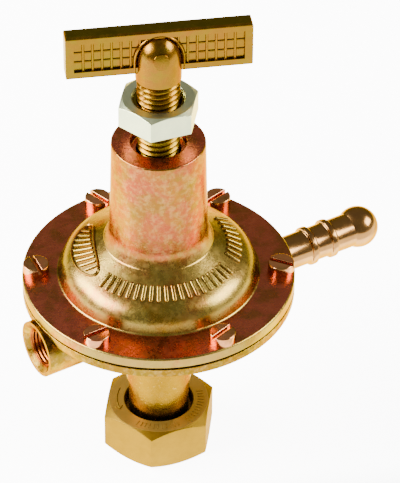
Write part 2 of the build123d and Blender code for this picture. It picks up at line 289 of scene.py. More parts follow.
def inset(outline, distance):
    """A counter-clockwise outline moved inwards by a distance."""
    points = [Vector(point) for point in outline]
    moved = []
    for i, point in enumerate(points):
        before = (point - points[i - 1]).normalized()
        after = (points[(i + 1) % len(points)] - point).normalized()
        across = Vector((-before.y - after.y, before.x + after.x)).normalized()
        moved.append(point + across * distance / max(across.dot(Vector((-before.y, before.x))), 0.4))
    return moved


def prism(outline, low, high, edge=0.0, steps=3):
    """Verts and faces of a closed prism over a level outline, its upper edge rounded inwards."""
    rings = [(outline, low)]
    for s in range(steps + 1):
        angle = pi / 2 * s / steps
        rings.append((inset(outline, edge * (1 - cos(angle))), high - edge + edge * sin(angle)))
    verts = [(x, y, z) for ring, z in rings for x, y in ring]
    count = len(outline)
    faces = [tuple(reversed(range(count)))]
    for k in range(len(rings) - 1):
        for i in range(count):
            a, b = k * count + i, k * count + (i + 1) % count
            faces.append((a, b, b + count, a + count))
    faces.append(tuple(range(len(verts) - count, len(verts))))
    return verts, faces


def ridge(path, width, height, place, closed=False):
    """Verts and faces of a half-round bead along a path; place lays (along, across, lift) on a surface."""
    # shares of half the width and of the height; the ends are sunk a little below the surface
    section = ((-1, -0.4), (-1, 0.2), (-0.75, 0.72), (0, 1), (0.75, 0.72), (1, 0.2), (1, -0.4))
    verts, faces = [], []
    count, wide = len(path), len(section)
    for i, point in enumerate(path):
        before = Vector(path[i - 1] if closed or i else path[0])
        after = Vector(path[(i + 1) % count] if closed or i < count - 1 else path[-1])
        run = (after - before).normalized()
        for across, lift in section:
            offset = Vector((-run.y, run.x)) * across * width / 2
            verts.append(place(point[0] + offset.x, point[1] + offset.y, lift * height))
    for i in range(count if closed else count - 1):
        for j in range(wide):
            a, b = i * wide + j, i * wide + (j + 1) % wide
            c, d = (i + 1) % count * wide + (j + 1) % wide, (i + 1) % count * wide + j
            faces.append((a, b, c, d))
    if not closed:
        faces.append(tuple(reversed(range(wide))))
        faces.append(tuple(range(len(verts) - wide, len(verts))))
    return verts, faces


def together(parts):
    """Verts and faces of several meshes given as (verts, faces), put together."""
    verts, faces = [], []
    for part_verts, part_faces in parts:
        base = len(verts)
        verts += part_verts
        faces += [tuple(base + i for i in f) for f in part_faces]
    return verts, faces


def soften(piece, width, segments=2, angle=radians(28)):
    """A small bevel on the piece's edges, shaded so that its flats stay flat."""
    piece.data.polygons.foreach_set("use_smooth", [True] * len(piece.data.polygons))
    if "sharp_edge" in piece.data.attributes:
        piece.data.attributes.remove(piece.data.attributes["sharp_edge"])
    bevel = piece.modifiers.new("edges", "BEVEL")
    bevel.width = width
    bevel.segments = segments
    bevel.limit_method = "ANGLE"
    bevel.angle_limit = angle
    bevel.harden_normals = True
    return piece


def applied(piece):
    """The piece with its modifiers turned into plain mesh."""
    bpy.context.view_layer.update()
    evaluated = piece.evaluated_get(bpy.context.evaluated_depsgraph_get())
    mesh = bpy.data.meshes.new_from_object(evaluated)
    piece.modifiers.clear()
    piece.data = mesh
    return piece


def cut(piece, tool):
    """The piece with the tool's solid taken out of it."""
    boolean = piece.modifiers.new("cut", "BOOLEAN")
    boolean.operation = "DIFFERENCE"
    boolean.solver = "EXACT"
    boolean.object = tool
    applied(piece)
    bpy.data.objects.remove(tool)
    return piece


def hexagon_nut(name, flats, low, high, turn, inner, chamfer_low, chamfer_high, sides=144):
    """A hexagon nut round the Z axis; inner is its bore as (radius, height) points from low to high."""
    verts, faces = [], []
    crown = flats / 2 * 0.975  # radius of the flat face inside the chamfer
    chamfer = radians(30)
    half_side = tau / 12
    for i in range(sides):
        angle = tau * i / sides
        reach = flats / 2 / cos((angle + half_side) % (tau / 6) - half_side)
        drop = max(reach - crown, 0) * tan(chamfer)
        top = [(reach, high - drop), (min(crown, reach), high)] if chamfer_high else [(reach, high)]
        foot = [(min(crown, reach), low), (reach, low + drop)] if chamfer_low else [(reach, low)]
        column = foot + top + list(reversed(inner))
        placed = angle + turn + half_side
        verts += [(r * cos(placed), r * sin(placed), z) for r, z in column]
    count = len(verts) // sides
    for i in range(sides):
        for k in range(count):
            a, b = i * count + k, i * count + (k + 1) % count
            c, d = (i + 1) % sides * count + (k + 1) % count, (i + 1) % sides * count + k
            faces.append((a, d, c, b))
    return link_mesh(name, verts, faces)


def merged(name, *pieces):
    """One object from several, each left as the closed solid that it is."""
    work = bmesh.new()
    for piece in pieces:
        work.from_mesh(piece.data)
    mesh = bpy.data.meshes.new(name)
    work.to_mesh(mesh)
    work.free()
    finish_mesh(mesh, radians(40), recalculate=False)
    for piece in pieces:
        bpy.data.objects.remove(piece)
    return placed_object(name, mesh)


def ride_as(piece, body, slot, material, *replaced):
    """Gives a finished piece its body and its material, and hides the nodes it stands for; the slot is not
    used.
    """
    piece.data.materials.clear()
    piece.data.materials.append(material)
    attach(piece, body)
    if replaced:
        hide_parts(*replaced)
    return piece


def refinish(node, material):
    """Puts a material on a CAD node whose shape is shown as it is."""
    piece = frame["nodes"][node]
    for place in piece.material_slots:
        place.material = material
    if not piece.material_slots:
        piece.data.materials.append(material)


# ------------------------------------------------------------------ geometry nodes
def add_node(tree, kind, settings, sockets):
    """A node with its settings, then its sockets' values or links; iN names an input by its number."""
    made = tree.nodes.new(kind)
    for key, value in (settings or {}).items():
        setattr(made, key, value)
    for key, value in sockets.items():
        numbered = key[0] == "i" and key[1:].isdigit()
        place = made.inputs[int(key[1:])] if numbered else made.inputs[key.replace("_", " ")]
        if isinstance(value, bpy.types.NodeSocket):
            tree.links.new(value, place)
        else:
            place.default_value = value
    return made


class Tree:
    """A Geometry Nodes tree that is put on an object, run once and baked to a plain mesh."""

    def __init__(self, name):
        self.group = bpy.data.node_groups.new(name, "GeometryNodeTree")
        self.group.interface.new_socket("Geometry", in_out="OUTPUT", socket_type="NodeSocketGeometry")
        self.group.interface.new_socket("Host", in_out="INPUT", socket_type="NodeSocketGeometry")
        self.inputs = self.group.nodes.new("NodeGroupInput")
        self.output = self.group.nodes.new("NodeGroupOutput")
        self.values = {}

    def given(self, name, value, kind="NodeSocketFloat"):
        """A named input of the tree."""
        socket = self.group.interface.new_socket(name, in_out="INPUT", socket_type=kind)
        self.values[socket.identifier] = value
        return self.inputs.outputs[name]

    def node(self, kind, settings=None, **sockets):
        return add_node(self.group, kind, settings, sockets)

    def sum(self, operation, first, second=0.0):
        """A Math node's result."""
        return self.node("ShaderNodeMath", {"operation": operation}, i0=first, i1=second).outputs[0]

    def vector(self, x=0.0, y=0.0, z=0.0):
        return self.node("ShaderNodeCombineXYZ", X=x, Y=y, Z=z).outputs[0]

    def joined(self, *shapes):
        made = self.group.nodes.new("GeometryNodeJoinGeometry")
        for shape in shapes:
            self.group.links.new(shape, made.inputs[0])
        return made.outputs[0]

    def bake(self, name, geometry, material, smooth_angle=radians(32)):
        """Ends the tree in Realize Instances and Set Material and returns the result as an object."""
        real = self.node("GeometryNodeRealizeInstances", Geometry=geometry)
        finished = self.node("GeometryNodeSetMaterial", Geometry=real.outputs[0], Material=material)
        self.group.links.new(finished.outputs[0], self.output.inputs[0])
        host = placed_object(name + "_host", bpy.data.meshes.new(name + "_host"))
        modifier = host.modifiers.new("build", "NODES")
        modifier.node_group = self.group
        for identifier, value in self.values.items():
            modifier[identifier] = value
        bpy.context.view_layer.update()
        evaluated = host.evaluated_get(bpy.context.evaluated_depsgraph_get())
        mesh = bpy.data.meshes.new_from_object(evaluated)
        mesh.name = name
        finish_mesh(mesh, smooth_angle, recalculate=False)
        bpy.data.objects.remove(host)
        return placed_object(name, mesh)


def round_the_axis(name, mark, material, radius, height, first, sweep, count, tilt=0.0, turns=()):
    """Copies of a mark, set out by Geometry Nodes on an arc about the main axis."""
    tree = Tree(name + "_tree")
    shape = tree.given("Mark", mark, "NodeSocketObject")
    many = tree.given("Count", count, "NodeSocketInt")
    out = tree.given("Radius", radius)
    up = tree.given("Height", height)
    start = tree.given("First angle", first)
    spread = tree.given("Sweep", sweep)
    lean = tree.given("Lean", tilt)
    index = tree.node("GeometryNodeInputIndex").outputs[0]
    last = tree.sum("MAXIMUM", tree.sum("SUBTRACT", many, 1.0), 1.0)
    angle = tree.sum("ADD", start, tree.sum("MULTIPLY", spread, tree.sum("DIVIDE", index, last)))
    x = tree.sum("MULTIPLY", out, tree.sum("COSINE", angle))
    y = tree.sum("MULTIPLY", out, tree.sum("SINE", angle))
    points = tree.node("GeometryNodePoints", Count=many, Position=tree.vector(x, y, up))
    own_turn = angle
    if turns:
        choice = tree.node("GeometryNodeIndexSwitch", {"data_type": "FLOAT"})
        while len(choice.index_switch_items) < len(turns):
            choice.index_switch_items.new()
        tree.group.links.new(index, choice.inputs[0])
        for k, turn in enumerate(turns):
            choice.inputs[k + 1].default_value = turn
        own_turn = choice.outputs[0]
    model = tree.node("GeometryNodeObjectInfo", Object=shape).outputs["Geometry"]
    copies = tree.node(
        "GeometryNodeInstanceOnPoints", Points=points.outputs[0], Instance=model,
        Rotation=tree.vector(0.0, lean, own_turn),
    )
    piece = tree.bake(name, copies.outputs[0], material)
    bpy.data.objects.remove(mark)
    return piece


# ------------------------------------------------------------------ shader tools
class Socket:
    """A shader socket that takes arithmetic."""

    def __init__(self, shader, socket):
        self.shader = shader
        self.socket = socket

    def maths(self, operation, first, second=0.0):
        made = self.shader.node("ShaderNodeMath", {"operation": operation}, i0=first, i1=second)
        return Socket(self.shader, made.outputs[0])

    def __add__(self, other):
        return self.maths("ADD", self, other)

    __radd__ = __add__

    def __sub__(self, other):
        return self.maths("SUBTRACT", self, other)

    def __rsub__(self, other):
        return self.maths("SUBTRACT", other, self)

    def __mul__(self, other):
        return self.maths("MULTIPLY", self, other)

    __rmul__ = __mul__

    def __pow__(self, other):
        return self.maths("POWER", self, other)

    def clamped(self):
        return self.maths("MINIMUM", self.maths("MAXIMUM", self, 0.0), 1.0)


class Shader:
    """A material with one Principled shader and a small vocabulary of patterns."""

    def __init__(self, name, metallic=1.0, roughness=0.3):
        self.material = bpy.data.materials.new(name)
        self.material.use_nodes = True
        self.tree = self.material.node_tree
        self.principled = self.tree.nodes["Principled BSDF"]
        self.principled.inputs["Metallic"].default_value = metallic
        self.principled.inputs["Roughness"].default_value = roughness
        self.coords = Socket(self, self.tree.nodes.new("ShaderNodeTexCoord").outputs["Object"])

    def node(self, kind, settings=None, **sockets):
        plain = {key: value.socket if isinstance(value, Socket) else value for key, value in sockets.items()}
        return add_node(self.tree, kind, settings, plain)

    def noise(self, scale, detail=3.0, roughness=0.55, stretch=(1, 1, 1)):
        """Noise from 0 to 1 at so many features per metre."""
        placed = self.node("ShaderNodeMapping", i0=self.coords, Scale=stretch)
        made = self.node(
            "ShaderNodeTexNoise", i0=placed.outputs[0], Scale=scale, Detail=detail, Roughness=roughness
        )
        return Socket(self, made.outputs[0])

    def ramp(self, value, low, high):
        """0 below low and 1 above high, smooth between."""
        made = self.node(
            "ShaderNodeMapRange", {"interpolation_type": "SMOOTHSTEP"}, i0=value, i1=low, i2=high
        )
        return Socket(self, made.outputs[0])

    def mix(self, share, first, second):
        """A colour between two colours."""
        made = self.node("ShaderNodeMix", {"data_type": "RGBA"}, i0=share)
        for place, value in ((6, first), (7, second)):
            if isinstance(value, Socket):
                self.tree.links.new(value.socket, made.inputs[place])
            else:
                made.inputs[place].default_value = (*value, 1)
        return Socket(self, made.outputs[2])

    def axis(self, letter):
        """One of the object coordinates."""
        split = self.node("ShaderNodeSeparateXYZ", i0=self.coords)
        return Socket(self, split.outputs[letter])

    def facing_up(self):
        """1 where the surface faces up, 0 where it is upright, from its geometry alone."""
        normal = self.tree.nodes.new("ShaderNodeNewGeometry").outputs["Normal"]
        split = self.node("ShaderNodeSeparateXYZ", i0=normal)
        return Socket(self, split.outputs["Z"])

    def feed(self, name, value):
        place = self.principled.inputs[name]
        self.tree.links.new(value.socket, place)

    def bump(self, height, distance, strength=1.0):
        made = self.node("ShaderNodeBump", Strength=strength, Distance=distance, Height=height)
        self.tree.links.new(made.outputs[0], self.principled.inputs["Normal"])
        return made


def passivated(
    name, main, bloom, deep, edge, bloom_share=0.5, roughness=0.26, grain=0.000022, crown=None, zones=()
):
    """Yellow-passivated casting: cloudy bloom, fine specks and a skin that is never quite flat."""
    shader = Shader(name)
    shader.principled.inputs["Specular Tint"].default_value = (0.62, 0.42, 0.08, 1)
    cloud = shader.ramp(shader.noise(70, 4, 0.6), 0.38, 0.62)
    patches = shader.ramp(shader.noise(170, 5, 0.65), 0.46, 0.64)
    mottle = shader.ramp(shader.noise(700, 4, 0.7), 0.42, 0.68)
    specks = shader.ramp(shader.noise(1700, 3, 0.7), 0.62, 0.72)
    colour = shader.mix(cloud * bloom_share, main, bloom)
    colour = shader.mix(patches * 0.55, colour, deep)
    colour = shader.mix(mottle * 0.3, colour, edge)
    for zone, tint in zones:
        colour = shader.mix(zone(shader) * 0.85, colour, tint)
    if crown:
        level = shader.ramp(shader.facing_up(), 0.90, 0.985)
        tint = shader.mix(patches * 0.45, crown, tuple(c * 0.7 for c in deep))
        colour = shader.mix(level * 0.85, colour, tint)
    colour = shader.mix(specks * 0.35, colour, edge)
    shader.feed("Base Color", colour)
    shader.feed("Roughness", (shader.noise(420, 4) * 0.2 + mottle * 0.06 + (roughness - 0.12)).clamped())
    skin = shader.noise(2300, 3) + shader.noise(520, 3) * 1.8
    shader.bump(skin, grain)
    return shader.material


def at_the_foot(shader):
    """1 on the neck and nipple below the lower casting, fading out above them."""
    return 1.0 - shader.ramp(shader.axis("Z"), 29 * MM, 38 * MM)


def on_the_slope(shader):
    """1 on the dome between flange and tower, broken up by the casting's bloom."""
    below = 1.0 - shader.ramp(shader.axis("Z"), 62 * MM, 66 * MM)
    return below * (shader.ramp(shader.noise(110, 4, 0.6), 0.30, 0.55) * 0.75 + 0.1)


def in_the_port(shader):
    """1 on the wall of the open side port."""
    port_height = bpy.context.scene.regulator_sizes.port_height
    off_axis = shader.axis("Y") ** 2.0 + (shader.axis("Z") - port_height) ** 2.0
    inside = 1.0 - shader.ramp(off_axis, (4.8 * MM) ** 2, (5.0 * MM) ** 2)
    return inside * shader.ramp(shader.axis("X") * -1.0, 18 * MM, 20 * MM)


def turned_metal(name, main, deep, roughness, turn_marks=0.000004, crown=None):
    """Machined metal with fine tool marks across the axis."""
    shader = Shader(name, roughness=roughness)
    shader.principled.inputs["Specular Tint"].default_value = (0.7, 0.5, 0.16, 1)
    cloud = shader.ramp(shader.noise(260, 4, 0.6), 0.35, 0.7)
    colour = shader.mix(cloud * 0.5, main, deep)
    if crown:
        colour = shader.mix(shader.ramp(shader.facing_up(), 0.90, 0.985), colour, crown)
    shader.feed("Base Color", colour)
    shader.feed("Roughness", (shader.noise(700, 4) * 0.18 + (roughness - 0.07)).clamped())
    marks = shader.noise(900, 2, 0.5, (0.05, 0.05, 9)) + shader.noise(3000, 2) * 0.5
    shader.bump(marks, turn_marks)
    return shader.material


def rubber(name, main):
    shader = Shader(name, metallic=0.0, roughness=0.6)
    shade = shader.noise(900, 3)
    shader.feed("Base Color", shader.mix(shade * 0.5, main, tuple(c + 0.03 for c in main)))
    shader.feed("Roughness", shade * 0.2 + 0.5)
    shader.bump(shader.noise(4000, 2), 0.00001)
    return shader.material


FINISHES = {}


def finish(name):
    """The material of a finish, made the first time it is asked for."""
    if name not in FINISHES:
        colours = bpy.context.scene.regulator_colours
        gold, pink, olive = tuple(colours.gold), tuple(colours.pink), tuple(colours.olive)
        copper, pale, brass = tuple(colours.copper), tuple(colours.pale_edge), tuple(colours.brass)
        lemon, bar = tuple(colours.lemon), tuple(colours.bar)
        makers = {
            "bonnet_gold": lambda: passivated(
                "bonnet_gold", gold, pink, olive, pale, 0.9, 0.28, crown=copper,
                zones=((on_the_slope, tuple(colours.moss)),),
            ),
            "body_gold": lambda: passivated(
                "body_gold", lemon, gold, olive, pale, 0.5, 0.28,
                zones=((at_the_foot, tuple(colours.yellow)), (in_the_port, tuple(colours.orange))),
            ),
            "handle_gold": lambda: passivated("handle_gold", bar, pink, olive, gold, 0.2, 0.26, crown=olive),
            "screw_gold": lambda: passivated(
                "screw_gold", tuple(colours.russet), copper, olive, pale, 0.4, 0.2, 0.00001
            ),
            "nozzle_gold": lambda: turned_metal(
                "nozzle_gold", (0.33, 0.165, 0.045), (0.21, 0.10, 0.035), 0.17, 0.000002
            ),
            "satin_brass": lambda: turned_metal(
                "satin_brass", brass, tuple(c * 0.8 for c in brass), 0.46, 0.000010, (0.42, 0.27, 0.05)
            ),
            "white_zinc": lambda: turned_metal("white_zinc", tuple(colours.zinc), (0.44, 0.50, 0.30), 0.3),
            "steel": lambda: turned_metal("steel", tuple(colours.steel), (0.34, 0.34, 0.36), 0.3),
            "bronze_filter": lambda: passivated(
                "bronze_filter", (0.42, 0.26, 0.12), (0.5, 0.34, 0.18), (0.2, 0.12, 0.06), pale,
                0.6, 0.6, 0.0001,
            ),
            "black_rubber": lambda: rubber("black_rubber", tuple(colours.rubber)),
        }
        FINISHES[name] = makers[name]()
    return FINISHES[name]


# ------------------------------------------------------------------ threads
def helical_wall(low, high, crest_r, root_r, pitch, sides=72, hand=1):
    """A helical thread surface that runs past both heights, as verts and faces."""
    # one turn's profile as (share of the pitch, share of the depth)
    shape = ((0.0, 0.0), (0.125, 0.0), (0.44, 0.94), (0.5, 1.0), (0.62, 1.0), (0.68, 0.94))
    rows = []
    for turn in range(floor(low / pitch) - 2, ceil(high / pitch) + 2):
        rows += [((turn + share) * pitch, root_r + (crest_r - root_r) * crest) for share, crest in shape]
    wide = sides + 1
    verts = []
    for height, r in rows:
        for i in range(wide):
            angle = hand * tau * i / sides
            verts.append((r * cos(angle), r * sin(angle), height + pitch * i / sides))
    faces = []
    for k in range(len(rows) - 1):
        for i in range(sides):
            a = k * wide + i
            faces.append((a, a + 1, a + wide + 1, a + wide)[::hand])
    return verts, faces


def trim(work, height, keep_above):
    """Cuts an open wall level at a height; returns the new edge loop's edges."""
    geometry = work.verts[:] + work.edges[:] + work.faces[:]
    result = bmesh.ops.bisect_plane(
        work, geom=geometry, dist=1e-7, plane_co=(0, 0, height), plane_no=(0, 0, 1),
        clear_inner=keep_above, clear_outer=not keep_above,
    )
    return [item for item in result["geom_cut"] if isinstance(item, bmesh.types.BMEdge)]


def threaded(name, low, high, crest_r, root_r, pitch, backing_r=None, hand=1, smooth_angle=radians(40)):
    """A threaded rod, or with a backing radius a ring threaded on its inside."""
    mesh = bpy.data.meshes.new(name)
    verts, faces = helical_wall(low, high, crest_r, root_r, pitch, hand=hand)
    mesh.from_pydata(verts, [], faces)
    work = bmesh.new()
    work.from_mesh(mesh)
    bmesh.ops.remove_doubles(work, verts=work.verts, dist=1e-7)
    for height, keep_above in ((low, True), (high, False)):
        loop = trim(work, height, keep_above)
        if backing_r is None:
            bmesh.ops.contextual_create(work, geom=loop)
        else:
            grown = bmesh.ops.extrude_edge_only(work, edges=loop)["geom"]
            for vert in (item for item in grown if isinstance(item, bmesh.types.BMVert)):
                flat = Vector((vert.co.x, vert.co.y)).normalized() * backing_r
                vert.co = (flat.x, flat.y, height)
    if backing_r is not None:
        rim = [edge for edge in work.edges if edge.is_boundary]
        bmesh.ops.bridge_loops(work, edges=rim)
    bmesh.ops.recalc_face_normals(work, faces=work.faces)
    work.to_mesh(mesh)
    work.free()
    finish_mesh(mesh, smooth_angle)
    return placed_object(name, mesh)


# ------------------------------------------------------------------ operators: castings
class REGULATOR_OT_body(bpy.types.Operator):
    """Builds the lower casting, the thread in its open port and the nipple below it"""

    bl_idname = "regulator.body"
    bl_label = "Body and nipple"

    def execute(self, context):
        gold = finish("body_gold")
        ride_as(smooth_copy("body", "body_casting"), ROOT, "body_gold", gold, "body")
        ride_as(smooth_copy("inlet_nipple", "nipple_turned"), ROOT, "body_gold", gold, "inlet_nipple")
        face = Vector(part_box("body")[0]).x
        start, end, pitch = 1.3 * MM, 9.6 * MM, 0.907 * MM
        crest, root, backing = 4.3 * MM, 4.6 * MM, 4.7 * MM
        port = threaded("port_thread", start, end, crest, root, pitch, backing)
        port.data.transform(Matrix.Rotation(radians(90), 4, "Y"))
        port.data.transform(Matrix.Translation((face, 0, context.scene.regulator_sizes.port_height)))
        ride_as(port, ROOT, "body_gold", gold)
        return {"FINISHED"}


class REGULATOR_OT_bonnet(bpy.types.Operator):
    """Builds the upper casting, with its vent, and the marks cast on its dome"""

    bl_idname = "regulator.bonnet"
    bl_label = "Bonnet"

    def execute(self, context):
        sizes = context.scene.regulator_sizes
        gold = finish("bonnet_gold")
        ride_as(self.casting(sizes), ROOT, "bonnet_gold", gold, "bonnet")
        for name, first, sweep, count in (("front_ribs", -165, 106, 20), ("side_ribs", -45, 48, 9)):
            row = self.ribs(sizes, name, gold, radians(first), radians(sweep), count)
            ride_as(row, ROOT, "bonnet_gold", gold)
        ride_as(self.oval(sizes, radians(155)), ROOT, "bonnet_gold", gold)
        return {"FINISHED"}

    def casting(self, sizes):
        foot, top = low_z("bonnet"), high_z("bonnet")
        flange_r, flange_top = half_width("bonnet"), low_z("bonnet") + sizes.flange_thickness
        wall, bore, chamber_top = 2.4 * MM, 8.3 * MM, 78 * MM
        thread_gap = 0.08 * MM
        thread_r = sizes.stem_radius + thread_gap
        flare_end_r, flare_end_z = 11.65 * MM, 65.4 * MM
        outline = rounded([
            (flange_r, foot),
            (flange_r, flange_top, 0.55 * MM),
            (sizes.dome_foot, flange_top, 0.7 * MM),
            (sizes.dome_shoulder, sizes.shoulder_height, 7.0 * MM),
            (sizes.tower_flare, sizes.flare_height, 0.9 * MM),
            (flare_end_r, flare_end_z, 6.0 * MM),
            (sizes.tower_radius, top, 0.45 * MM),
            (sizes.recess_radius, top, 0.35 * MM),
            (sizes.recess_radius, top - sizes.recess_depth, 0.3 * MM),
            (thread_r, top - sizes.recess_depth, 0.3 * MM),
            (thread_r, chamber_top),
            (bore, chamber_top),
            (bore, sizes.flare_height - wall, 1 * MM),
            (sizes.dome_shoulder - wall, sizes.shoulder_height - wall, 2 * MM),
            (sizes.dome_foot - wall - 0.6 * MM, foot),
        ], steps=7)
        piece = lathe("bonnet_casting", outline, sides=192)
        vent_r, vent_z, vent_angle, drill = 0.6 * MM, 54.2 * MM, radians(-30), 30 * MM
        vent = lathe("vent_tool", [(0.0, 0.0), (vent_r, 0.0), (vent_r, drill), (0.0, drill)], sides=24)
        turn = Matrix.Rotation(vent_angle, 4, "Z") @ Matrix.Rotation(radians(90), 4, "Y")
        vent.data.transform(Matrix.Translation((0, 0, vent_z)) @ turn)
        cut(piece, vent)
        finish_mesh(piece.data, radians(32), recalculate=False)
        return piece

    def dome_slope(self, sizes):
        return atan2(sizes.flare_height - sizes.shoulder_height, sizes.dome_shoulder - sizes.tower_flare)

    def dome_height(self, sizes, radius):
        return sizes.shoulder_height + (sizes.dome_shoulder - radius) * tan(self.dome_slope(sizes))

    def ribs(self, sizes, name, material, first, sweep, count):
        """Plain rounded ribs, cast in a row round the dome."""
        long, wide = 4.3 * MM, 1.0 * MM
        ends = [(long / 2 - wide / 2, -pi / 2), (wide / 2 - long / 2, pi / 2)]
        outline = []
        for centre, start in ends:
            arc = [start + pi * k / 10 for k in range(11)]
            outline += [(centre + wide / 2 * cos(angle), wide / 2 * sin(angle)) for angle in arc]
        rib = link_mesh(name + "_rib", *prism(outline, -0.25 * MM, sizes.mark_height, 0.36 * MM, 4))
        height = self.dome_height(sizes, sizes.mark_radius)
        return round_the_axis(
            name, rib, material, sizes.mark_radius, height, first, sweep, count, self.dome_slope(sizes)
        )

    def oval(self, sizes, centre):
        """A plain oval border round slanting ribs, cast on the dome."""
        slope = self.dome_slope(sizes)

        def place(along, across, lift):
            radius = sizes.mark_radius - across * cos(slope) + lift * sin(slope)
            height = self.dome_height(sizes, sizes.mark_radius) + across * sin(slope) + lift * cos(slope)
            angle = centre - along / sizes.mark_radius
            return (radius * cos(angle), radius * sin(angle), height)

        half_long, half_wide = 9.4 * MM, 3.1 * MM
        spacing, gap, slant = 1.75 * MM, 0.75 * MM, 0.45
        border = [(half_long * cos(tau * k / 96), half_wide * sin(tau * k / 96)) for k in range(96)]
        beads = [ridge(border, 0.6 * MM, sizes.mark_height, place, closed=True)]
        for k in range(9):
            offset = (k - 4) * spacing
            reach = half_wide * sqrt(1 - (offset / half_long) ** 2) - gap
            line = [(offset - slant * reach * t, reach * t) for t in np.linspace(-1, 1, 7)]
            beads.append(ridge(line, 0.8 * MM, sizes.mark_height, place))
        return link_mesh("oval_mark", *together(beads), smooth_angle=radians(60))


# ------------------------------------------------------------------ operators: fasteners and handle
class REGULATOR_OT_screws(bpy.types.Operator):
    """Builds the six slotted cheese-head screws"""

    bl_idname = "regulator.screws"
    bl_label = "Cover screws"

    def execute(self, context):
        sizes = context.scene.regulator_sizes
        seat = low_z("bonnet") + sizes.flange_thickness
        height = high_z("cover_screws") - seat
        head_r, shank_r, slot, depth = 3.1 * MM, 1.7 * MM, 0.9 * MM, 1.2 * MM
        parts = [
            prism(circle(shank_r, 24), low_z("cover_screws") - seat, 0.1 * MM),
            prism(circle(head_r, 48), 0.0, height - depth),
        ]
        edge = asin(slot / 2 / head_r)
        for side in (0, pi):
            arc = [side + edge + (pi - 2 * edge) * k / 24 for k in range(25)]
            half = [(head_r * cos(angle), head_r * sin(angle)) for angle in arc]
            parts.append(prism(half, height - depth - 0.05 * MM, height, 0.32 * MM, 4))
        head = link_mesh("screw_model", *together(parts), smooth_angle=radians(40))
        slot_turns = [radians(angle) for angle in (13, 106, 81, 1, 16, 127)]
        edge_distance = 3.3 * MM
        screws = round_the_axis(
            "cheese_head_screws", head, finish("screw_gold"), half_width("bonnet") - edge_distance, seat,
            radians(30), radians(300), len(slot_turns), turns=slot_turns,
        )
        ride_as(screws, ROOT, "screw_gold", finish("screw_gold"), "cover_screws")
        return {"FINISHED"}


